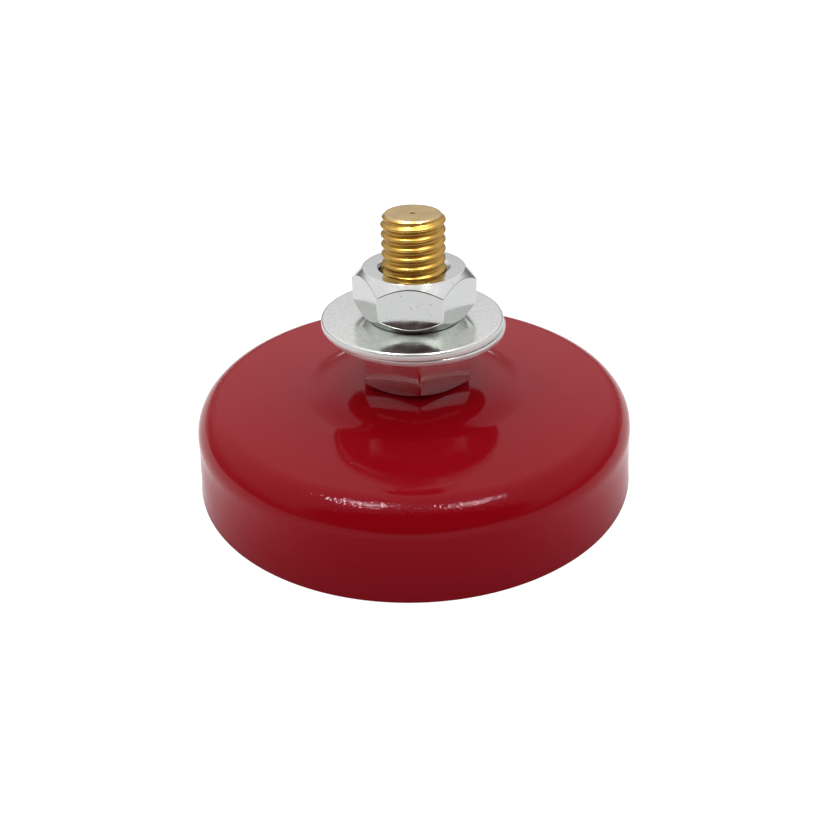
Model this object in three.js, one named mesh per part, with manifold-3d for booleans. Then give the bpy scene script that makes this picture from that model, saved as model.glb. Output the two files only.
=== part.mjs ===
// A shallow pot magnet with a stud: a red enamelled steel cup that holds a ferrite ring and a
// steel pole, and a brass M10 stud with two plain washers and a hexagon nut.
// Millimetres, +Z up. The origin is the centre of the flat magnetic face that the cup stands on.

import * as THREE from "three";
import { mergeVertices } from "three/addons/utils/BufferGeometryUtils.js";
import Module from "manifold-3d";

const wasm = await Module();
wasm.setup();

// ---- Driving dimensions ----

// M10 thread and the hexagon nuts on it
const THREAD_RADIUS = 4.93;
const THREAD_ROOT_RADIUS = 4.1;
const THREAD_PITCH = 1.5;
const NUT_ACROSS_FLATS = 17;
const NUT_FACE_RADIUS = 7.9;
const NUT_CORNER_DROP = 2.05;
const TOP_NUT = { height: 8, footDrop: 2.05 };
const CLAMP_NUT = { height: 8.4, footDrop: 1.1 };
const BORE_RADIUS = 5.03;
const BORE_MOUTH_RADIUS = 5.7;

// Cup, from its rim up
const RIM_RADIUS = 36.6;
const RIM_EDGE = 0.35;
const WALL_RADIUS = 35.8;
const WALL_TAPER_HEIGHT = 8;
const SHOULDER_START = 9.7;
const SHOULDER_WIDTH = 4.9;
const SHOULDER_HEIGHT = 4.95;
const BOSS_FOOT_RADIUS = 18.8;
const BOSS_FOOT_HEIGHT = 15.01;
const BOSS_HOLLOW_RADIUS = 17.8;
const BOSS_HOLLOW_HEIGHT = 15.04;
const BOSS_SIDE_RADIUS = 16;
const BOSS_SIDE_HEIGHT = 15.69;
const BOSS_CROWN_RADIUS = 13.47;
const BOSS_FLAT_RADIUS = 9.8;
const BOSS_TOP = 16.6;
const CUP_BORE_RADIUS = 33.2;
const CUP_BORE_FILLET = 1.6;
const ROOF_UNDERSIDE = 11.6;

// Magnetic parts in the cup
const CORE_RADIUS = 12.5;
const MAGNET_INNER_RADIUS = 14.5;
const MAGNET_OUTER_RADIUS = 31.5;
const MAGNET_RECESS = 0.4;
const BOND_THICKNESS = 0.35;
const FILLER_RECESS = 0.7;
const CHAMFER = 0.4;

// Stud
const HEAD_RADIUS = 9;
const HEAD_HEIGHT = 3;
const HEAD_RECESS = 0.2;
const STUD_TOP = 43.7;
const STUD_TOP_CHAMFER = 0.75;
const THREAD_START = 25;

// Washers: each lies a little off the stud's axis, because its hole is larger than the stud
const WASHER_HOLE_RADIUS = 5.5;
const WASHER_EDGE = 0.25;
const LOWER_WASHER = { radius: 14.3, thickness: 0.95, offset: 0.25 };
const UPPER_WASHER = { radius: 14.5, thickness: 1.25, offset: -0.35 };

// Gaps between neighbours: beside each other, and between faces that rest on each other
const SIDE_GAP = 0.1;
const SEAT_GAP = 0.05;

// Facets round a full turn, and along each arc of an outline
const ROUND = 72;
const SMALL_ROUND = 48;
const ARC_STEPS = 3;
const THREAD_STEPS = 24;

const FULL_TURN = 2 * Math.PI;
const QUARTER_TURN = Math.PI / 2;

// ---- Heights of the stack on the stud ----

const clampNutBase = BOSS_TOP + SEAT_GAP;
const lowerWasherBase = clampNutBase + CLAMP_NUT.height + SEAT_GAP;
const upperWasherBase = lowerWasherBase + LOWER_WASHER.thickness + SEAT_GAP;
const topNutBase = upperWasherBase + UPPER_WASHER.thickness + SEAT_GAP;

// ---- Finishes ----

const finish = (color, roughness, metalness) =>
  new THREE.MeshStandardMaterial({ color, roughness, metalness });

const finishes = {
  redEnamel: finish(0x8c0a18, 0.15, 0),
  bareSteel: finish(0x8f9092, 0.4, 0.9),
  ferrite: finish(0x2b2b2e, 0.6, 0.1),
  epoxy: finish(0x3a3834, 0.55, 0),
  brass: finish(0xb98a34, 0.3, 1),
  satinZinc: finish(0xc3c6cb, 0.35, 1),
  brightZinc: finish(0xd4d7dc, 0.15, 1),
};

// ---- Shape helpers ----

// Outline points from pairs of radius and height.
function points(pairs) {
  return pairs.map(([radius, z]) => new THREE.Vector2(radius, z));
}

// A body of revolution about Z. The outline's x is the radius and its y is the height; it runs
// anticlockwise, and starts and ends on the axis or closes on itself.
function revolve(outline, facets = ROUND) {
  return new THREE.LatheGeometry(outline, facets).rotateX(QUARTER_TURN);
}

// A square-edged ring between two heights.
function ring(inner, outer, base, top) {
  return revolve(points([
    [inner, base],
    [outer, base],
    [outer, top],
    [inner, top],
    [inner, base],
  ]));
}

function solidFrom(geometry) {
  const bare = geometry.clone();
  bare.deleteAttribute("normal");
  bare.deleteAttribute("uv");
  const merged = mergeVertices(bare);
  const mesh = new wasm.Mesh({
    numProp: 3,
    vertProperties: new Float32Array(merged.attributes.position.array),
    triVerts: new Uint32Array(merged.index.array),
  });
  return new wasm.Manifold(mesh);
}

function geometryFrom(solid) {
  const { vertProperties, triVerts } = solid.getMesh();
  const geometry = new THREE.BufferGeometry();
  geometry.setAttribute("position", new THREE.BufferAttribute(vertProperties, 3));
  geometry.setIndex(new THREE.BufferAttribute(triVerts, 1));
  geometry.computeVertexNormals();
  return geometry;
}

// ---- Geometry of each kind of piece ----

// The pot: a tapered wall, an elliptical shoulder, a slightly sloping roof and a low domed boss
// with a hollow at its foot outside, and a plain bore with a fillet under the roof inside.
function cupGeometry() {
  const roofEdge = WALL_RADIUS - SHOULDER_WIDTH;
  const boreFillet = CUP_BORE_RADIUS - CUP_BORE_FILLET;
  const outline = new THREE.Path();
  outline.moveTo(CUP_BORE_RADIUS, 0);
  outline.lineTo(RIM_RADIUS - RIM_EDGE, 0);
  outline.lineTo(RIM_RADIUS, RIM_EDGE);
  outline.lineTo(WALL_RADIUS, WALL_TAPER_HEIGHT);
  outline.absellipse(roofEdge, SHOULDER_START, SHOULDER_WIDTH, SHOULDER_HEIGHT, 0, QUARTER_TURN);
  outline.lineTo(BOSS_FOOT_RADIUS, BOSS_FOOT_HEIGHT);
  outline.quadraticCurveTo(BOSS_HOLLOW_RADIUS, BOSS_HOLLOW_HEIGHT, BOSS_SIDE_RADIUS, BOSS_SIDE_HEIGHT);
  outline.quadraticCurveTo(BOSS_CROWN_RADIUS, BOSS_TOP, BOSS_FLAT_RADIUS, BOSS_TOP);
  outline.lineTo(THREAD_RADIUS + SIDE_GAP, BOSS_TOP);
  outline.lineTo(THREAD_RADIUS + SIDE_GAP, ROOF_UNDERSIDE);
  outline.absarc(boreFillet, ROOF_UNDERSIDE - CUP_BORE_FILLET, CUP_BORE_FILLET, QUARTER_TURN, 0, true);
  outline.lineTo(CUP_BORE_RADIUS, 0);
  return revolve(outline.getPoints(ARC_STEPS));
}

// The steel pole: a bush with a counterbore in its lower face for the stud's head.
function coreGeometry() {
  const bore = THREAD_RADIUS + SIDE_GAP;
  const counterbore = HEAD_RADIUS + SIDE_GAP;
  const seat = HEAD_RECESS + HEAD_HEIGHT + SEAT_GAP;
  const top = ROOF_UNDERSIDE - SEAT_GAP;
  return revolve(points([
    [bore, seat],
    [counterbore, seat],
    [counterbore, 0],
    [CORE_RADIUS - CHAMFER, 0],
    [CORE_RADIUS, CHAMFER],
    [CORE_RADIUS, top],
    [bore, top],
    [bore, seat],
  ]), SMALL_ROUND);
}

// A right-hand helical ridge: a straight bar of the ridge's section, wound down round the Z axis
// from startHeight. One unit along the bar is one turn.
function threadRidge(startHeight, turns) {
  const crest = THREAD_PITCH / 16;
  const flank = 0.42 * THREAD_PITCH;
  const hidden = THREAD_ROOT_RADIUS - 0.15;
  const section = new THREE.Shape();
  section.moveTo(hidden, -flank);
  section.lineTo(THREAD_RADIUS, -crest);
  section.lineTo(THREAD_RADIUS, crest);
  section.lineTo(hidden, flank);
  const bar = new THREE.ExtrudeGeometry(section, {
    depth: turns,
    steps: Math.round(turns * THREAD_STEPS),
    bevelEnabled: false,
  });
  const position = bar.attributes.position;
  for (let i = 0; i < position.count; i += 1) {
    const radius = position.getX(i);
    const turn = position.getZ(i);
    const angle = -FULL_TURN * turn;
    const z = startHeight + position.getY(i) - THREAD_PITCH * turn;
    position.setXYZ(i, radius * Math.cos(angle), radius * Math.sin(angle), z);
  }
  return bar;
}

// The stud: a round head, a plain shank, and the thread up to a chamfered end.
function studGeometry() {
  const headTop = HEAD_RECESS + HEAD_HEIGHT;
  const shank = revolve(points([
    [0, HEAD_RECESS],
    [HEAD_RADIUS - CHAMFER, HEAD_RECESS],
    [HEAD_RADIUS, HEAD_RECESS + CHAMFER],
    [HEAD_RADIUS, headTop],
    [THREAD_RADIUS, headTop],
    [THREAD_RADIUS, THREAD_START],
    [THREAD_ROOT_RADIUS, THREAD_START + THREAD_PITCH / 2],
    [THREAD_ROOT_RADIUS, STUD_TOP],
    [0, STUD_TOP],
  ]), THREAD_STEPS);
  const chamferedSpace = revolve(points([
    [0, 0],
    [RIM_RADIUS, 0],
    [RIM_RADIUS, STUD_TOP - STUD_TOP_CHAMFER + THREAD_RADIUS - RIM_RADIUS],
    [THREAD_RADIUS - STUD_TOP_CHAMFER, STUD_TOP],
    [0, STUD_TOP],
  ]), THREAD_STEPS);
  const ridgeEnd = THREAD_START + THREAD_PITCH / 4;
  const ridgeTurns = Math.ceil((STUD_TOP - ridgeEnd) / THREAD_PITCH);
  const ridge = threadRidge(ridgeEnd + ridgeTurns * THREAD_PITCH, ridgeTurns);
  const threaded = solidFrom(shank).add(solidFrom(ridge));
  return geometryFrom(threaded.intersect(solidFrom(chamferedSpace)));
}

// A hexagon nut standing on Z = 0, chamfered at both ends: footDrop is how high the lower chamfer
// reaches at the corners. Its bore is plain, at the thread's crest, with a countersink at each mouth.
function nutGeometry({ height, footDrop }) {
  const cornerRadius = NUT_ACROSS_FLATS / Math.sqrt(3);
  const outside = cornerRadius + 1;
  const reach = (outside - NUT_FACE_RADIUS) / (cornerRadius - NUT_FACE_RADIUS);
  const prism = new THREE.CylinderGeometry(cornerRadius, cornerRadius, height, 6)
    .rotateX(QUARTER_TURN)
    .translate(0, 0, height / 2);
  const barrel = revolve(points([
    [0, 0],
    [NUT_FACE_RADIUS, 0],
    [outside, reach * footDrop],
    [outside, height - reach * NUT_CORNER_DROP],
    [NUT_FACE_RADIUS, height],
    [0, height],
  ]), SMALL_ROUND);
  const sink = BORE_MOUTH_RADIUS - BORE_RADIUS;
  const overrun = 1;
  const bore = revolve(points([
    [0, -overrun],
    [BORE_MOUTH_RADIUS + overrun, -overrun],
    [BORE_RADIUS, sink],
    [BORE_RADIUS, height - sink],
    [BORE_MOUTH_RADIUS + overrun, height + overrun],
    [0, height + overrun],
  ]), SMALL_ROUND);
  return geometryFrom(solidFrom(prism).intersect(solidFrom(barrel)).subtract(solidFrom(bore)));
}

// A plain washer with chamfered edges, lying on Z = 0.
function washerGeometry({ radius, thickness }) {
  const hole = WASHER_HOLE_RADIUS;
  const edge = WASHER_EDGE;
  return revolve(points([
    [hole, edge],
    [hole + edge, 0],
    [radius - edge, 0],
    [radius, edge],
    [radius, thickness - edge],
    [radius - edge, thickness],
    [hole + edge, thickness],
    [hole, thickness - edge],
    [hole, edge],
  ]), SMALL_ROUND);
}

// ---- Assembly ----

const magnet = new THREE.Group();

function addPiece(name, geometry, material, parent = magnet) {
  const piece = new THREE.Mesh(geometry, material);
  piece.name = name;
  parent.add(piece);
  return piece;
}

addPiece("cup_shell", cupGeometry(), finishes.redEnamel);
addPiece("pole_core", coreGeometry(), finishes.bareSteel);

const bondTop = ROOF_UNDERSIDE - SEAT_GAP;
const bondBase = bondTop - BOND_THICKNESS;
const magnetTop = bondBase - SEAT_GAP;
addPiece(
  "ring_magnet",
  ring(MAGNET_INNER_RADIUS, MAGNET_OUTER_RADIUS, MAGNET_RECESS, magnetTop),
  finishes.ferrite,
);
addPiece(
  "magnet_bond",
  ring(MAGNET_INNER_RADIUS, MAGNET_OUTER_RADIUS, bondBase, bondTop),
  finishes.epoxy,
);

const fillerTop = ROOF_UNDERSIDE - CUP_BORE_FILLET;
addPiece(
  "outer_filler",
  ring(MAGNET_OUTER_RADIUS + SIDE_GAP, CUP_BORE_RADIUS - SIDE_GAP, FILLER_RECESS, fillerTop),
  finishes.epoxy,
);
addPiece(
  "inner_filler",
  ring(CORE_RADIUS + SIDE_GAP, MAGNET_INNER_RADIUS - SIDE_GAP, FILLER_RECESS, fillerTop),
  finishes.epoxy,
);

addPiece("contact_stud", studGeometry(), finishes.brass);

// The nuts are turned to where they came to a stop when they were tightened.
const clampNut = addPiece("clamp_nut", nutGeometry(CLAMP_NUT), finishes.brightZinc);
clampNut.position.z = clampNutBase;
clampNut.rotation.z = THREE.MathUtils.degToRad(3);

const topNut = addPiece("top_nut", nutGeometry(TOP_NUT), finishes.brightZinc);
topNut.position.z = topNutBase;
topNut.rotation.z = THREE.MathUtils.degToRad(25.5);

const lowerWasher = addPiece("lower_washer", washerGeometry(LOWER_WASHER), finishes.satinZinc);
lowerWasher.position.set(LOWER_WASHER.offset, 0, lowerWasherBase);

const upperWasher = addPiece("upper_washer", washerGeometry(UPPER_WASHER), finishes.satinZinc);
upperWasher.position.set(UPPER_WASHER.offset, 0, upperWasherBase);

export default magnet;
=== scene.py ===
import math

import bpy
import numpy as np
from mathutils import Matrix, Vector


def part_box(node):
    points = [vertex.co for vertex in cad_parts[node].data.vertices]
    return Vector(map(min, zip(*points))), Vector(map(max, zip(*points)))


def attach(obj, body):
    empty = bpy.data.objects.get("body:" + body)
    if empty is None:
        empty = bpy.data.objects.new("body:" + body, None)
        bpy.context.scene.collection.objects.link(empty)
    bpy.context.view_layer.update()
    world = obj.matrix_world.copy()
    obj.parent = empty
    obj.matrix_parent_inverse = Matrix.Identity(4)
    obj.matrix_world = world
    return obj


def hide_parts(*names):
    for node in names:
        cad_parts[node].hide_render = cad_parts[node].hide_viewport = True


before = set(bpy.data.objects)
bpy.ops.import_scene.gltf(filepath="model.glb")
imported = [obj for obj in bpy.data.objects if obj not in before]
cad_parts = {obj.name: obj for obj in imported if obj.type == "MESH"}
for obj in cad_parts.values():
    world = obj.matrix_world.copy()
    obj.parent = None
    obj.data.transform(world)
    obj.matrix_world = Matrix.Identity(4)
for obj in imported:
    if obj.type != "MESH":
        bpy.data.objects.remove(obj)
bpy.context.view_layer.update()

MM = 0.001

# ---------------------------------------------------------------- sizes, in millimetres


def node_box(node):
    """A CAD node's lowest and highest corner, in millimetres."""
    low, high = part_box(node)
    return low / MM, high / MM


def corner_angle(node):
    """The direction of one corner of a nut, in degrees, from its CAD mesh."""
    points = np.array([v.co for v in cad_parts[node].data.vertices])
    farthest = points[np.argmax(np.hypot(points[:, 0], points[:, 1]))]
    return math.degrees(math.atan2(farthest[1], farthest[0]))


_, CUP_HIGH = node_box("cup_shell")
STUD_LOW, STUD_HIGH = node_box("contact_stud")
CLAMP_LOW, CLAMP_HIGH = node_box("clamp_nut")
NUT_LOW, NUT_HIGH = node_box("top_nut")
LOWER_LOW, LOWER_HIGH = node_box("lower_washer")
UPPER_LOW, UPPER_HIGH = node_box("upper_washer")
CORE_LOW, CORE_HIGH = node_box("pole_core")
MAGNET_LOW, MAGNET_HIGH = node_box("ring_magnet")
OUTER_FILLER_LOW, OUTER_FILLER_HIGH = node_box("outer_filler")
INNER_FILLER_LOW, INNER_FILLER_HIGH = node_box("inner_filler")

# M10 thread and nuts. A nut's foot is the radius where its lower chamfer starts, and how high the
# chamfer reaches at a corner.
THREAD_RADIUS = 4.93
THREAD_ROOT = 4.28
THREAD_PITCH = 1.5
NUT_ACROSS_FLATS = 17.0
NUT_FACE_RADIUS = 7.9
NUT_CORNER_DROP = 2.05
TOP_NUT_FOOT = (7.6, 2.35)
CLAMP_NUT_FOOT = (7.95, 1.1)
NUT_CORNER_ROUND = 0.45
NUT_EDGE_ROUND = 0.3
NUT_BORE_CLEARANCE = 0.12
NUT_COUNTERSINK = 0.75
NUT_COUNTERSINK_DEPTH = 0.7
TOP_NUT_TURN = corner_angle("top_nut")
CLAMP_NUT_TURN = corner_angle("clamp_nut")

# Cup outline, as radius and height from the rim up to the stud's hole, and how far the enamel is
# out of true
RIM_RADIUS = CUP_HIGH.x
WALL_RADIUS = 35.8
WALL_TAPER_HEIGHT = 8.0
SHOULDER_START = 9.7
SHOULDER_WIDTH = 4.9
SHOULDER_HEIGHT = 4.95
BOSS_FOOT = (18.8, 15.01)
BOSS_HOLLOW = (17.8, 15.04)
BOSS_SIDE = (16.0, 15.69)
BOSS_CROWN_RADIUS = 13.47
BOSS_FLAT_RADIUS = 9.8
BOSS_TOP = CUP_HIGH.z
CUP_BORE_RADIUS = 33.2
STUD_HOLE_RADIUS = 5.03
ROOF_UNDERSIDE = 11.6
ROOF_UNDERSIDE_BEVEL = 1.6
RIM_EDGE_HEIGHT = 1.0
RIM_DRAW_IN = 0.1
GROUND_FACE_HEIGHT = 0.05
ENAMEL_SETBACK = 0.05
WALL_WAVE = 0.04
RAGGED_EDGE = 0.05
ROOF_WAVE = 0.02

WASHER_HOLE_RADIUS = 5.5
STUD_HEAD_RADIUS = 9.0
STUD_HEAD_TOP = 3.2
STUD_HEAD_CLEARANCE = 0.1
STUD_TOP_CHAMFER = 0.75
CENTRE_MARK = [(0.36, 0.0), (0.26, 0.12), (0.01, 0.5)]

RING_MAGNET_BORE = 14.5
OUTER_FILLER_BORE = 31.6
INNER_FILLER_BORE = 12.6

# Points round a turned body, round the cup, and between heights on the thread
AROUND = 288
AROUND_CUP = 360
THREAD_STEP = 0.045


# ---------------------------------------------------------------- mesh building


def rounded(corners, steps=5):
    """An outline through corners (radius, height, fillet), with that fillet's arc at each corner."""
    corners = [(np.array(c[:2], float), c[2]) for c in corners]
    line = [corners[0][0]]
    for i in range(1, len(corners) - 1):
        here, fillet = corners[i]
        to_last = corners[i - 1][0] - here
        to_next = corners[i + 1][0] - here
        room = 0.49 * min(np.linalg.norm(to_last), np.linalg.norm(to_next))
        to_last = to_last / np.linalg.norm(to_last)
        to_next = to_next / np.linalg.norm(to_next)
        half = 0.5 * math.acos(np.clip(to_last @ to_next, -1, 1))
        if fillet <= 0 or half > 0.5 * math.pi - 1e-3:
            line.append(here)
            continue
        reach = min(fillet / math.tan(half), room)
        start = here + reach * to_last
        end = here + reach * to_next
        for t in np.linspace(0, 1, steps + 1):
            line.append((1 - t) ** 2 * start + 2 * t * (1 - t) * here + t**2 * end)
    line.append(corners[-1][0])
    return np.array(line)


def mesh_object(name, vertices, faces):
    """A smooth-shaded mesh object from points in millimetres."""
    mesh = bpy.data.meshes.new(name)
    mesh.from_pydata((np.asarray(vertices) * MM).tolist(), [], faces)
    mesh.validate()
    mesh.polygons.foreach_set("use_smooth", [True] * len(mesh.polygons))
    mesh.update()
    piece = bpy.data.objects.new(name, mesh)
    bpy.context.scene.collection.objects.link(piece)
    return piece


def swept(name, grid, closed):
    """A surface from grid[row][column] points. Columns go round the axis. If closed, the last row
    joins the first; otherwise the first and last rows are closed by a fan to their middle."""
    rows, columns = grid.shape[:2]
    vertices = grid.reshape(-1, 3).tolist()
    faces = []
    for r in range(rows if closed else rows - 1):
        above = (r + 1) % rows
        for c in range(columns):
            beside = (c + 1) % columns
            faces.append((
                r * columns + c,
                r * columns + beside,
                above * columns + beside,
                above * columns + c,
            ))
    if not closed:
        for row, flip in ((0, True), (rows - 1, False)):
            middle = len(vertices)
            vertices.append(grid[row].mean(axis=0).tolist())
            for c in range(columns):
                pair = (row * columns + c, row * columns + (c + 1) % columns)
                faces.append((middle, *(reversed(pair) if flip else pair)))
    return mesh_object(name, vertices, faces)


def turned(name, outline, closed, around=AROUND, centre=(0.0, 0.0), uneven=None):
    """A body turned from an outline of (radius, height). uneven(angles, radius, height) may return
    the radius and height of each point a little out of true."""
    angles = np.linspace(0, 2 * math.pi, around, endpoint=False)
    radius, height = outline[:, :1], outline[:, 1:]
    if uneven:
        radius, height = uneven(angles, radius, height)
    x = centre[0] + radius * np.cos(angles)
    y = centre[1] + radius * np.sin(angles)
    z = np.broadcast_to(height, x.shape)
    return swept(name, np.stack([x, y, z], axis=-1), closed)


def even_flats(piece):
    """Normals that stay true on flat faces beside small rounded edges."""
    modifier = piece.modifiers.new("even_flats", "WEIGHTED_NORMAL")
    modifier.weight = 100
    modifier.keep_sharp = True


def thread_depth(angle, height):
    """How far the right-hand thread's surface lies under its crest, from 0 to 1."""
    turn = (height / THREAD_PITCH - angle / (2 * math.pi)) % 1.0
    from_crest = np.abs(turn - 0.5) * 2
    depth = np.clip((from_crest - 0.06) / 0.9, 0, 1)
    return depth * depth * (3 - 2 * depth)


def threaded_radius(angle, height):
    return THREAD_RADIUS - (THREAD_RADIUS - THREAD_ROOT) * thread_depth(angle, height)


# ---------------------------------------------------------------- materials


class Shader:
    """A material's node tree, with short calls for the nodes used here."""

    def __init__(self, name, **sockets):
        self.material = bpy.data.materials.new(name)
        self.material.use_nodes = True
        self.tree = self.material.node_tree
        self.surface = self.tree.nodes["Principled BSDF"]
        for socket, value in sockets.items():
            self.surface.inputs[socket.replace("_", " ")].default_value = value
        self.place = self.add("ShaderNodeTexCoord").outputs["Object"]

    def add(self, kind, **settings):
        made = self.tree.nodes.new(kind)
        for key, value in settings.items():
            setattr(made, key, value)
        return made

    def feed(self, socket, value):
        if isinstance(value, bpy.types.NodeSocket):
            self.tree.links.new(value, socket)
        else:
            socket.default_value = value

    def set(self, name, value):
        self.feed(self.surface.inputs[name], value)

    def maths(self, operation, *values):
        made = self.add("ShaderNodeMath", operation=operation)
        for socket, value in zip(made.inputs, values):
            self.feed(socket, value)
        return made.outputs[0]

    def vector(self, operation, *values):
        made = self.add("ShaderNodeVectorMath", operation=operation)
        for socket, value in zip(made.inputs, values):
            self.feed(socket, value)
        return made.outputs["Value" if operation in ("LENGTH", "DOT_PRODUCT", "DISTANCE") else "Vector"]

    def stretched(self, x, y, z):
        """Object coordinates with one unit per x, y and z millimetres."""
        return self.vector("MULTIPLY", self.place, (1 / (x * MM), 1 / (y * MM), 1 / (z * MM)))

    def noise(self, size, detail=2.0, rough=0.5, place=None):
        """Noise from 0 to 1 with features of about size millimetres."""
        made = self.add("ShaderNodeTexNoise")
        if place is None:
            place = self.stretched(size, size, size)
        self.feed(made.inputs["Vector"], place)
        made.inputs["Scale"].default_value = 1.0
        made.inputs["Detail"].default_value = detail
        made.inputs["Roughness"].default_value = rough
        return made.outputs["Fac"]

    def spots(self, size, share, soft=0.3):
        """Round spots: 1 in the middle of a share of the cells of that size, 0 elsewhere."""
        cells = self.add("ShaderNodeTexVoronoi", feature="F1")
        self.feed(cells.inputs["Vector"], self.stretched(size, size, size))
        cells.inputs["Scale"].default_value = 1.0
        picked = self.maths("LESS_THAN", self.channel(cells.outputs["Color"], 0), share)
        dome = self.ramp(cells.outputs["Distance"], soft, 0.0)
        return self.maths("MULTIPLY", dome, picked)

    def channel(self, colour, index):
        made = self.add("ShaderNodeSeparateColor")
        self.feed(made.inputs[0], colour)
        return made.outputs[index]

    def scratches(self, lean, length, width, share):
        """Short straight marks, 0 or 1, leaning by an angle in degrees from the Z axis."""
        turned_place = self.add("ShaderNodeMapping", vector_type="POINT")
        turned_place.inputs["Rotation"].default_value = (0, math.radians(lean), math.radians(lean))
        self.feed(turned_place.inputs["Vector"], self.place)
        scale = (1 / (width * MM), 1 / (width * MM), 1 / (length * MM))
        place = self.vector("MULTIPLY", turned_place.outputs["Vector"], scale)
        return self.ramp(self.noise(1.0, detail=1.0, place=place), 1 - share, 1 - share + 0.04)

    def ramp(self, value, start, end, low=0.0, high=1.0):
        """low up to start, high from end on, smooth between them."""
        made = self.add("ShaderNodeMapRange", interpolation_type="SMOOTHSTEP")
        for key, number in (("From Min", start), ("From Max", end), ("To Min", low), ("To Max", high)):
            made.inputs[key].default_value = number
        self.feed(made.inputs["Value"], value)
        return made.outputs["Result"]

    def mix(self, share, first, second):
        made = self.add("ShaderNodeMix", data_type="RGBA")
        self.feed(made.inputs["Factor"], share)
        self.feed(made.inputs["A"], (*first, 1.0) if isinstance(first, tuple) else first)
        self.feed(made.inputs["B"], (*second, 1.0) if isinstance(second, tuple) else second)
        return made.outputs["Result"]

    def bump(self, height, depth, normal=None):
        """A bumped normal: height 1 stands depth millimetres proud of height 0."""
        made = self.add("ShaderNodeBump")
        made.inputs["Strength"].default_value = 1.0
        made.inputs["Distance"].default_value = depth * MM
        self.feed(made.inputs["Height"], height)
        if normal is not None:
            self.feed(made.inputs["Normal"], normal)
        return made.outputs["Normal"]

    def radius(self):
        """Distance from the Z axis, in millimetres."""
        flat = self.vector("MULTIPLY", self.place, (1 / MM, 1 / MM, 0.0))
        return self.vector("LENGTH", flat)

    def height(self):
        """Height over the magnet's face, in millimetres."""
        made = self.add("ShaderNodeSeparateXYZ")
        self.feed(made.inputs[0], self.place)
        return self.maths("DIVIDE", made.outputs["Z"], MM)

    def upright(self):
        """1 on vertical faces, 0 on level ones."""
        made = self.add("ShaderNodeSeparateXYZ")
        self.feed(made.inputs[0], self.add("ShaderNodeTexCoord").outputs["Normal"])
        return self.ramp(self.maths("ABSOLUTE", made.outputs["Z"]), 0.75, 0.35)


def red_enamel():
    shader = Shader("red_enamel", IOR=1.3, Specular_Tint=(0.85, 0.56, 0.74, 1.0))
    cloud = shader.noise(14.0, detail=3.0)
    paint = shader.mix(cloud, (0.41, 0.0026, 0.008), (0.45, 0.0036, 0.012))
    dust = shader.spots(1.9, 0.07, soft=0.09)
    shader.set("Base Color", shader.mix(shader.maths("MULTIPLY", dust, 0.5), paint, (0.6, 0.35, 0.33)))
    long_peel = shader.bump(shader.noise(2.6, detail=1.5), 0.010)
    peel = shader.bump(shader.noise(0.7, detail=2.0), 0.003, long_peel)
    radius = shader.radius()
    inner_side = shader.ramp(radius, 31.0, 32.6)
    outer_side = shader.ramp(radius, 35.0, 34.0)
    on_shoulder = shader.maths("MULTIPLY", inner_side, outer_side)
    pimples = shader.maths("MULTIPLY", shader.noise(0.4, detail=2.0), on_shoulder)
    rough_shoulder = shader.bump(pimples, 0.06, peel)
    shader.set("Normal", shader.bump(dust, 0.04, rough_shoulder))
    shader.set("Roughness", shader.ramp(cloud, 0.3, 0.7, 0.07, 0.11))
    return shader.material


def satin_zinc():
    shader = Shader("satin_zinc", Metallic=1.0)
    cloud = shader.noise(3.0, detail=4.0)
    dull_grain = shader.ramp(shader.noise(0.5, detail=3.0, rough=0.6), 0.6, 0.4)
    grain = shader.maths("MULTIPLY", dull_grain, 0.2)
    clean = shader.mix(cloud, (0.76, 0.785, 0.755), (0.86, 0.885, 0.855))
    plating = shader.mix(grain, clean, (0.5, 0.5, 0.49))
    marks = shader.maths("MULTIPLY", shader.scratches(70, 2.4, 0.1, 0.3), 0.35)
    worn = shader.mix(marks, plating, (0.42, 0.42, 0.42))
    near_rim = shader.ramp(shader.radius(), 12.0, 13.0)
    punched_edge = shader.maths("MULTIPLY", shader.upright(), near_rim)
    shader.set("Base Color", shader.mix(punched_edge, worn, (0.80, 0.81, 0.80)))
    smooth = shader.ramp(cloud, 0.3, 0.7, 0.15, 0.24)
    shader.set("Roughness", shader.maths("MULTIPLY_ADD", punched_edge, 0.22, smooth))
    brushed = shader.noise(0.4, detail=3.0, place=shader.stretched(2.5, 0.12, 2.5))
    shader.set("Normal", shader.bump(brushed, 0.0015))
    return shader.material


def bright_zinc(name, flat_shade_share):
    """Plated steel, whose upright flats are painted darker by a share from 0 to 1, as painted shade
    that dims their reflections.
    """
    shader = Shader(name, Metallic=1.0)
    cloud = shader.noise(2.0, detail=4.0)
    clean = shader.mix(cloud, (0.70, 0.72, 0.705), (0.80, 0.82, 0.805))
    # painted shade: upright faces get a darker base colour, so the flats reflect less light
    painted_flat_shade = shader.maths("MULTIPLY", shader.upright(), flat_shade_share)
    plating = shader.mix(painted_flat_shade, clean, (0.40, 0.41, 0.40))
    long_marks = shader.scratches(40, 2.0, 0.16, 0.262)
    short_marks = shader.scratches(-25, 1.5, 0.14, 0.255)
    marks = shader.maths("MAXIMUM", long_marks, short_marks)
    dark_marks = shader.maths("MULTIPLY", marks, 0.7)
    shader.set("Base Color", shader.mix(dark_marks, plating, (0.16, 0.16, 0.17)))
    shader.set("Roughness", shader.ramp(cloud, 0.3, 0.7, 0.07, 0.15))
    wavy = shader.bump(shader.noise(1.1, detail=2.0), 0.004)
    shader.set("Normal", shader.bump(marks, -0.01, wavy))
    return shader.material


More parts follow.
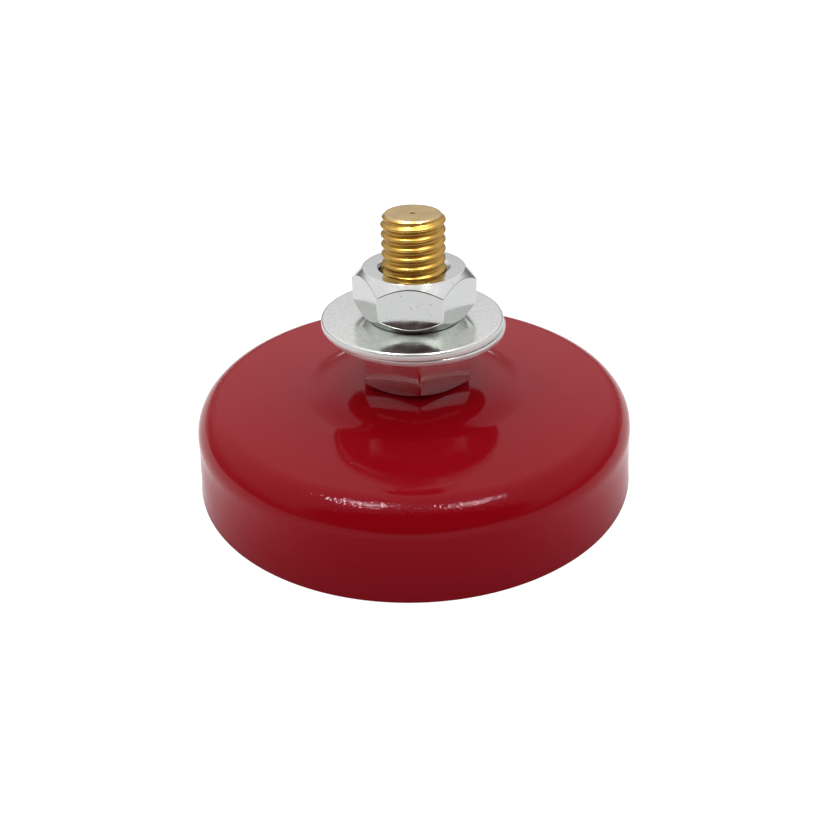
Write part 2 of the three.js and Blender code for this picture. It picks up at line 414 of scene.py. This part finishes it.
def brass():
    shader = Shader("brass", Metallic=1.0)
    cloud = shader.noise(1.6, detail=4.0)
    metal = shader.mix(cloud, (0.48, 0.285, 0.062), (0.62, 0.395, 0.105))
    tarnish = shader.ramp(shader.noise(0.5, detail=4.0, rough=0.65), 0.56, 0.72, 0.0, 0.5)
    on_end = shader.ramp(shader.height(), STUD_HIGH.z - 0.3, STUD_HIGH.z - 0.1)
    # painted shade: the centre-punch dimple on the stud's end is coloured near black, standing in for
    # shade in the hollow
    near_axis = shader.ramp(shader.radius(), 0.42, 0.3)
    near_end = shader.ramp(shader.height(), STUD_HIGH.z - 0.9, STUD_HIGH.z - 0.7)
    dimple_shade = shader.maths("MULTIPLY", near_axis, near_end)
    aged = shader.mix(tarnish, metal, (0.22, 0.12, 0.035))
    end_face = shader.maths("MULTIPLY", on_end, 0.45)
    paler_end = shader.mix(end_face, aged, (0.78, 0.66, 0.42))
    shader.set("Base Color", shader.mix(dimple_shade, paler_end, (0.05, 0.03, 0.012)))
    shader.set("Roughness", shader.ramp(cloud, 0.3, 0.7, 0.3, 0.4))
    lines = shader.noise(0.2, detail=2.0, place=shader.stretched(4.0, 4.0, 0.09))
    rings = shader.maths("SINE", shader.maths("MULTIPLY", shader.radius(), 26.0))
    turned_lines = shader.maths("MULTIPLY", rings, on_end)
    shader.set("Normal", shader.bump(turned_lines, 0.002, shader.bump(lines, 0.003)))
    return shader.material


def ground_steel():
    shader = Shader("ground_steel", Metallic=1.0)
    lines = shader.noise(0.3, detail=4.0, place=shader.stretched(14.0, 0.12, 1.0))
    shader.set("Base Color", shader.mix(lines, (0.34, 0.34, 0.35), (0.52, 0.52, 0.53)))
    shader.set("Roughness", shader.ramp(lines, 0.3, 0.7, 0.28, 0.42))
    shader.set("Normal", shader.bump(lines, 0.004))
    return shader.material


def ferrite():
    shader = Shader("ferrite", Specular_IOR_Level=0.5)
    grain = shader.noise(0.25, detail=5.0, rough=0.7)
    shader.set("Base Color", shader.mix(grain, (0.018, 0.018, 0.020), (0.045, 0.044, 0.046)))
    shader.set("Roughness", shader.ramp(grain, 0.3, 0.7, 0.42, 0.62))
    shader.set("Normal", shader.bump(grain, 0.01))
    return shader.material


def epoxy():
    shader = Shader("epoxy", Roughness=0.3)
    cloud = shader.noise(1.5, detail=3.0)
    shader.set("Base Color", shader.mix(cloud, (0.02, 0.018, 0.016), (0.05, 0.045, 0.04)))
    waves = shader.bump(cloud, 0.05)
    shader.set("Normal", shader.bump(shader.spots(1.1, 0.12, soft=0.25), -0.08, waves))
    return shader.material


RED_ENAMEL = red_enamel()
SATIN_ZINC = satin_zinc()
BRIGHT_ZINC = bright_zinc("bright_zinc", 0.33)
CLAMP_NUT_ZINC = bright_zinc("clamp_nut_zinc", 0.0)
BRASS = brass()
GROUND_STEEL = ground_steel()
FERRITE = ferrite()
EPOXY = epoxy()


# ---------------------------------------------------------------- pieces


def finish_piece(piece, material, node, body):
    piece.data.materials.append(material)
    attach(piece, body)
    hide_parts(node)
    return piece


def ellipse_arc(centre, half_width, half_height, start, end, steps):
    angles = np.radians(np.linspace(start, end, steps + 1))
    across = centre[0] + half_width * np.cos(angles)
    up = centre[1] + half_height * np.sin(angles)
    return np.stack([across, up], axis=-1)


def line(start, end, steps):
    return np.linspace(start, end, steps + 1)


def curve(start, bend, end, steps):
    """A smooth bend from start to end that heads towards bend at both."""
    t = np.linspace(0, 1, steps + 1)[:, None]
    start, bend, end = np.array(start), np.array(bend), np.array(end)
    return (1 - t) ** 2 * start + 2 * t * (1 - t) * bend + t**2 * end


def waves(angles, across, seed, sizes):
    """A gentle unevenness, about -1 to 1, round the axis and along a second coordinate."""
    random = np.random.default_rng(seed)
    total = np.zeros(np.broadcast(angles, across).shape)
    for turns, rate in sizes:
        phase, skew = random.uniform(0, 2 * math.pi, 2)
        total += np.sin(turns * angles + phase + rate * across + skew * np.sin(angles)) / len(sizes)
    return total


def uneven_enamel(angles, radius, height):
    """The pressed and painted cup's outside: slightly wavy, with a rougher lower edge."""
    outside = np.clip((radius - CUP_BORE_RADIUS) / 1.0, 0, 1) * np.clip(height / 0.6, 0, 1)
    roof = np.clip((height - 14.0) / 0.5, 0, 1) * np.clip((radius - 11.0) / 2.0, 0, 1)
    low = np.exp(-((height - 0.5) ** 2) / 0.5)
    wall_wave = waves(angles, height, 3, [(3, 0.2), (5, 0.5), (9, 0.9), (14, 0.7)])
    edge_wave = waves(angles, height, 5, [(23, 1.0), (37, 2.0), (61, 1.0), (89, 3.0)])
    roof_wave = waves(angles, radius, 8, [(2, 0.3), (3, 0.5), (5, 0.4), (7, 0.8)])
    inward = ENAMEL_SETBACK + WALL_WAVE * wall_wave + RAGGED_EDGE * low * edge_wave
    return radius - outside * inward, height + ROOF_WAVE * roof * (roof_wave - 1)


def cup():
    roof_edge = WALL_RADIUS - SHOULDER_WIDTH
    roof_edge_height = SHOULDER_START + SHOULDER_HEIGHT
    rim = rounded([
        (CUP_BORE_RADIUS, 2.0, 0),
        (CUP_BORE_RADIUS, 0.0, 0.15),
        (RIM_RADIUS, 0.0, 0.2),
        (RIM_RADIUS - RIM_DRAW_IN, RIM_EDGE_HEIGHT, 0),
    ])
    wall_foot = (RIM_RADIUS - RIM_DRAW_IN, RIM_EDGE_HEIGHT)
    wall = line(wall_foot, (WALL_RADIUS, WALL_TAPER_HEIGHT), 28)
    shoulder_middle = (roof_edge, SHOULDER_START)
    shoulder = ellipse_arc(shoulder_middle, SHOULDER_WIDTH, SHOULDER_HEIGHT, 0, 90, 40)
    crown = np.concatenate([
        line((roof_edge, roof_edge_height), BOSS_FOOT, 24)[:-1],
        curve(BOSS_FOOT, BOSS_HOLLOW, BOSS_SIDE, 24)[:-1],
        curve(BOSS_SIDE, (BOSS_CROWN_RADIUS, BOSS_TOP), (BOSS_FLAT_RADIUS, BOSS_TOP), 40),
        [(STUD_HOLE_RADIUS + 0.5, BOSS_TOP)],
    ])
    inside = np.array([
        (STUD_HOLE_RADIUS, BOSS_TOP),
        (STUD_HOLE_RADIUS, ROOF_UNDERSIDE),
        (CUP_BORE_RADIUS - ROOF_UNDERSIDE_BEVEL, ROOF_UNDERSIDE),
        (CUP_BORE_RADIUS, ROOF_UNDERSIDE - ROOF_UNDERSIDE_BEVEL),
    ])
    outline = np.concatenate([rim, wall[1:], shoulder, crown[1:], inside])
    return turned("cup", outline, closed=True, around=AROUND_CUP, uneven=uneven_enamel)


def nut(name, low, high, turn, foot):
    """A hexagon nut, chamfered at both ends, threaded inside, with its corners and edges rounded."""
    base, height = low.z, high.z - low.z
    centre = (low + high) / 2
    flat = NUT_ACROSS_FLATS / 2
    corner_middle = (flat - NUT_CORNER_ROUND) / math.cos(math.radians(30))
    round_outline = []
    for corner in range(6):
        direction = math.radians(60 * corner)
        for normal in np.radians(np.linspace(-30, 30, 9)) + direction:
            round_outline.append((
                corner_middle * math.cos(direction) + NUT_CORNER_ROUND * math.cos(normal),
                corner_middle * math.sin(direction) + NUT_CORNER_ROUND * math.sin(normal),
            ))
        start = np.array(round_outline[-1])
        following = math.radians(60 * corner + 60)
        normal = following - math.radians(30)
        end = np.array((
            corner_middle * math.cos(following) + NUT_CORNER_ROUND * math.cos(normal),
            corner_middle * math.sin(following) + NUT_CORNER_ROUND * math.sin(normal),
        ))
        round_outline += [tuple(p) for p in line(start, end, 16)[1:-1]]
    round_outline = np.array(round_outline)
    outer = np.hypot(*round_outline.T)
    angles = np.arctan2(round_outline[:, 1], round_outline[:, 0]) + math.radians(turn)
    corner_radius = NUT_ACROSS_FLATS / math.sqrt(3)
    foot_radius, foot_rise = foot
    columns = []
    mouth = THREAD_RADIUS + NUT_COUNTERSINK
    thread_start, thread_end = height - NUT_COUNTERSINK_DEPTH, NUT_COUNTERSINK_DEPTH
    bore_heights = np.linspace(thread_start, thread_end, 120)
    for angle, radius in zip(angles, outer):
        drop = NUT_CORNER_DROP * (radius - NUT_FACE_RADIUS) / (corner_radius - NUT_FACE_RADIUS)
        rise = foot_rise * (radius - foot_radius) / (corner_radius - foot_radius)
        inner = threaded_radius(angle, base + bore_heights) + NUT_BORE_CLEARANCE
        outline = rounded([
            (inner[-1], thread_end, 0),
            (mouth, 0.0, 0.1),
            (foot_radius, 0.0, 0.2),
            (radius, rise, NUT_EDGE_ROUND),
            (radius, height - drop, NUT_EDGE_ROUND),
            (NUT_FACE_RADIUS, height, 0.2),
            (mouth, height, 0.1),
            (inner[0], thread_start, 0),
        ])
        bore = np.stack([inner, bore_heights], axis=-1)[1:-1]
        columns.append(np.concatenate([outline, bore]))
    profile = np.array(columns).transpose(1, 0, 2)
    x = centre.x + profile[..., 0] * np.cos(angles)
    y = centre.y + profile[..., 0] * np.sin(angles)
    piece = swept(name, np.stack([x, y, base + profile[..., 1]], axis=-1), closed=True)
    even_flats(piece)
    return piece


def washer(name, low, high, top_roll, edge, taper):
    """A punched washer: its top edge is rolled over, and its rim draws in by taper at the bottom."""
    radius = (high.x - low.x) / 2
    centre = ((high.x + low.x) / 2, (high.y + low.y) / 2)
    middle = (low.z + high.z) / 2
    outline = rounded([
        (WASHER_HOLE_RADIUS, middle, 0),
        (WASHER_HOLE_RADIUS, low.z, edge),
        (radius - taper, low.z, edge),
        (radius, high.z, top_roll),
        (WASHER_HOLE_RADIUS, high.z, edge),
        (WASHER_HOLE_RADIUS, middle, 0),
    ], steps=8)[:-1]
    piece = turned(name, outline, closed=True, centre=centre)
    even_flats(piece)
    return piece


def stud():
    top = STUD_HIGH.z
    head = rounded([
        (0.01, STUD_LOW.z, 0),
        (STUD_HEAD_RADIUS, STUD_LOW.z, 0.4),
        (STUD_HEAD_RADIUS, STUD_HEAD_TOP, 0.1),
        (THREAD_RADIUS, STUD_HEAD_TOP, 0),
        (THREAD_RADIUS, BOSS_TOP, 0),
    ])
    heights = np.arange(BOSS_TOP + 0.2, top - 0.001, THREAD_STEP)
    mark = [(radius, top - depth) for radius, depth in CENTRE_MARK]
    end = np.concatenate([
        line((THREAD_RADIUS - STUD_TOP_CHAMFER - 0.04, top), mark[0], 12),
        mark[1:],
    ])
    columns = []
    angles = np.linspace(0, 2 * math.pi, AROUND, endpoint=False)
    for angle in angles:
        chamfer = THREAD_RADIUS - np.clip(heights - (top - STUD_TOP_CHAMFER), 0, None)
        radii = np.minimum(threaded_radius(angle, heights), chamfer)
        columns.append(np.concatenate([head, np.stack([radii, heights], axis=-1), end]))
    profile = np.array(columns).transpose(1, 0, 2)
    x = profile[..., 0] * np.cos(angles)
    y = profile[..., 0] * np.sin(angles)
    return swept("stud", np.stack([x, y, profile[..., 1]], axis=-1), closed=False)


def flat_ring(name, inner, outer, low, high, edge):
    outline = rounded([
        (inner, (low + high) / 2, 0),
        (inner, low, edge),
        (outer, low, edge),
        (outer, high, edge),
        (inner, high, edge),
        (inner, (low + high) / 2, 0),
    ])[:-1]
    piece = turned(name, outline, closed=True)
    even_flats(piece)
    return piece


def make_pieces():
    shell = finish_piece(cup(), RED_ENAMEL, "cup_shell", "magnet")
    shell.data.materials.append(GROUND_STEEL)
    for face in shell.data.polygons:
        if face.center.z < GROUND_FACE_HEIGHT * MM:
            face.material_index = 1
    finish_piece(nut("jam_nut", CLAMP_LOW, CLAMP_HIGH, CLAMP_NUT_TURN, CLAMP_NUT_FOOT),
                 CLAMP_NUT_ZINC, "clamp_nut", "magnet")
    finish_piece(nut("zinc_nut", NUT_LOW, NUT_HIGH, TOP_NUT_TURN, TOP_NUT_FOOT),
                 BRIGHT_ZINC, "top_nut", "top_nut")
    finish_piece(washer("washer_below", LOWER_LOW, LOWER_HIGH, 0.25, 0.2, 0.16),
                 SATIN_ZINC, "lower_washer", "lower_washer")
    finish_piece(washer("washer_above", UPPER_LOW, UPPER_HIGH, 0.5, 0.2, 0.07),
                 SATIN_ZINC, "upper_washer", "upper_washer")
    finish_piece(stud(), BRASS, "contact_stud", "magnet")
    core_hole = STUD_HEAD_RADIUS + STUD_HEAD_CLEARANCE
    finish_piece(flat_ring("pole", core_hole, CORE_HIGH.x, CORE_LOW.z, CORE_HIGH.z, 0.35),
                 GROUND_STEEL, "pole_core", "magnet")
    finish_piece(flat_ring("magnet_ring", RING_MAGNET_BORE, MAGNET_HIGH.x,
                           MAGNET_LOW.z, MAGNET_HIGH.z, 0.5),
                 FERRITE, "ring_magnet", "magnet")
    finish_piece(flat_ring("potting_outside", OUTER_FILLER_BORE, OUTER_FILLER_HIGH.x,
                           OUTER_FILLER_LOW.z, OUTER_FILLER_HIGH.z, 0.1),
                 EPOXY, "outer_filler", "magnet")
    finish_piece(flat_ring("potting_inside", INNER_FILLER_BORE, INNER_FILLER_HIGH.x,
                           INNER_FILLER_LOW.z, INNER_FILLER_HIGH.z, 0.1),
                 EPOXY, "inner_filler", "magnet")
    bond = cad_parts["magnet_bond"]
    bond.data.materials.clear()
    bond.data.materials.append(EPOXY)


make_pieces()


# ---------------------------------------------------------------- studio

# The dome's radius is in metres, the floors' size in millimetres. The sky's strength rises as the Z
# of a direction goes from the first of SKY_HEIGHTS to the second.
DOME_RADIUS = 2.5
FLOOR_SIZE = (4000, 4000)
SKY_COLOUR = (1.0, 0.98, 1.0, 1)
SKY_HEIGHTS = (0.1, 0.5)
SKY_STRENGTHS = (0.22, 0.92)
BOUNCE_STRENGTH = 0.79


def emitter(name, colour, strength):
    material = bpy.data.materials.new(name)
    material.use_nodes = True
    surface = material.node_tree.nodes["Principled BSDF"]
    surface.inputs["Base Color"].default_value = (0.3, 0.3, 0.3, 1)
    surface.inputs["Specular IOR Level"].default_value = 0.0
    surface.inputs["Emission Color"].default_value = (*colour, 1)
    surface.inputs["Emission Strength"].default_value = strength
    return material


def stage_plane(name, material, size, place, facing, camera=True, lighting=True):
    """A flat studio panel, sizes and places in millimetres, facing along a direction."""
    half_x, half_y = size[0] / 2, size[1] / 2
    corners = [(-half_x, -half_y, 0), (half_x, -half_y, 0), (half_x, half_y, 0), (-half_x, half_y, 0)]
    mesh = bpy.data.meshes.new(name)
    mesh.from_pydata([tuple(MM * c for c in corner) for corner in corners], [], [(0, 1, 2, 3)])
    mesh.materials.append(material)
    panel = bpy.data.objects.new(name, mesh)
    bpy.context.scene.collection.objects.link(panel)
    panel.location = Vector(place) * MM
    panel.rotation_euler = Vector(facing).to_track_quat("Z", "Y").to_euler()
    panel.visible_camera = camera
    for ray in ("diffuse", "glossy", "transmission", "shadow"):
        setattr(panel, f"visible_{ray}", lighting)
    return panel


def glint(name, place, size, power):
    """A lamp that shows as a highlight and adds nothing to the even light of the studio."""
    light = bpy.data.lights.new(name, "AREA")
    light.shape = "RECTANGLE"
    light.size, light.size_y = size[0] * MM, size[1] * MM
    light.color = (1.0, 1.0, 0.86)
    light.energy = power
    made = bpy.data.objects.new(name, light)
    made.location = Vector(place) * MM
    made.rotation_euler = (Vector((0, 0, 0.02)) - made.location).to_track_quat("-Z", "Y").to_euler()
    made.visible_diffuse = False
    bpy.context.scene.collection.objects.link(made)


def soft_flag(name, colour, size, place, facing):
    """A dark oval panel with a soft edge, which the object reflects and the camera doesn't see."""
    shader = Shader(name, Roughness=1.0, Specular_IOR_Level=0.0, Base_Color=(*colour, 1),
                    Emission_Color=(*colour, 1), Emission_Strength=1.0)
    oval = shader.vector("MULTIPLY", shader.place, (2 / (size[0] * MM), 2 / (size[1] * MM), 0.0))
    shader.set("Alpha", shader.ramp(shader.vector("LENGTH", oval), 0.55, 1.0, 1.0, 0.0))
    stage_plane(name, shader.material, size, place, facing, camera=False)


def backdrop():
    """A white dome all round, for the camera only."""
    bpy.ops.mesh.primitive_uv_sphere_add(segments=32, ring_count=16, radius=DOME_RADIUS)
    dome = bpy.context.object
    dome.name = "backdrop"
    dome.data.materials.append(emitter("white_backdrop", (1, 1, 1), 1.0))
    for ray in ("diffuse", "glossy", "transmission", "shadow"):
        setattr(dome, f"visible_{ray}", False)


def make_studio():
    world = bpy.data.worlds.new("studio")
    bpy.context.scene.world = world
    world.use_nodes = True
    tree = world.node_tree
    background = tree.nodes["Background"]
    direction = tree.nodes.new("ShaderNodeTexCoord").outputs["Generated"]
    split = tree.nodes.new("ShaderNodeSeparateXYZ")
    brighter_up = tree.nodes.new("ShaderNodeMapRange")
    brighter_up.interpolation_type = "SMOOTHSTEP"
    limits = (*SKY_HEIGHTS, *SKY_STRENGTHS)
    for key, number in zip(("From Min", "From Max", "To Min", "To Max"), limits):
        brighter_up.inputs[key].default_value = number
    tree.links.new(direction, split.inputs[0])
    tree.links.new(split.outputs["Z"], brighter_up.inputs["Value"])
    tree.links.new(brighter_up.outputs["Result"], background.inputs["Strength"])
    background.inputs["Color"].default_value = SKY_COLOUR
    backdrop()

    white = emitter("white_floor", (1, 1, 1), 1.0)
    stage_plane("floor", white, FLOOR_SIZE, (0, 0, -0.1), (0, 0, 1), lighting=False)
    bounce = emitter("floor_bounce", (1, 1, 1), BOUNCE_STRENGTH)
    stage_plane("bounce", bounce, FLOOR_SIZE, (0, 0, -0.3), (0, 0, 1), camera=False)
    soft_flag("shade_under", (0.31, 0.29, 0.31), (96, 116), (0, -18, -0.2), (0, 0, 1))
    soft_flag("front_flag", (0.03, 0.012, 0.016), (620, 300), (0, -180, 110), (0, 0.85, -0.45))

    glint("glint_left", (-76, -33, 286), (42, 18), 0.5)
    glint("glint_right", (80, -60, 282), (46, 18), 0.36)


# Where the camera stands: how far from the magnet's face centre and how high, what its lens axis
# points at on the floor, and its roll, lens and framing
CAMERA_DISTANCE = 148.2
CAMERA_ELEVATION = 33.66
CAMERA_AIM = (9.26, 14.25, 0.0)
CAMERA_ROLL = 0.743
CAMERA_LENS = 36.46
CAMERA_SHIFT = (-0.061, -0.001)


def make_camera():
    data = bpy.data.cameras.new("camera")
    camera = bpy.data.objects.new("camera", data)
    bpy.context.scene.collection.objects.link(camera)
    bpy.context.scene.camera = camera
    data.sensor_width = 36.0
    data.lens = CAMERA_LENS
    data.shift_x, data.shift_y = CAMERA_SHIFT
    data.clip_start, data.clip_end = 0.005, 20.0
    elevation = math.radians(CAMERA_ELEVATION)
    place = Vector((0, -math.cos(elevation), math.sin(elevation))) * CAMERA_DISTANCE * MM
    facing = (Vector(CAMERA_AIM) * MM - place).to_track_quat("-Z", "Y").to_matrix()
    turn = facing @ Matrix.Rotation(math.radians(CAMERA_ROLL), 3, "Z")
    camera.matrix_world = Matrix.Translation(place) @ turn.to_4x4()
    scene = bpy.context.scene
    scene.view_settings.view_transform = "Standard"
    scene.view_settings.look = "None"


make_studio()
make_camera()
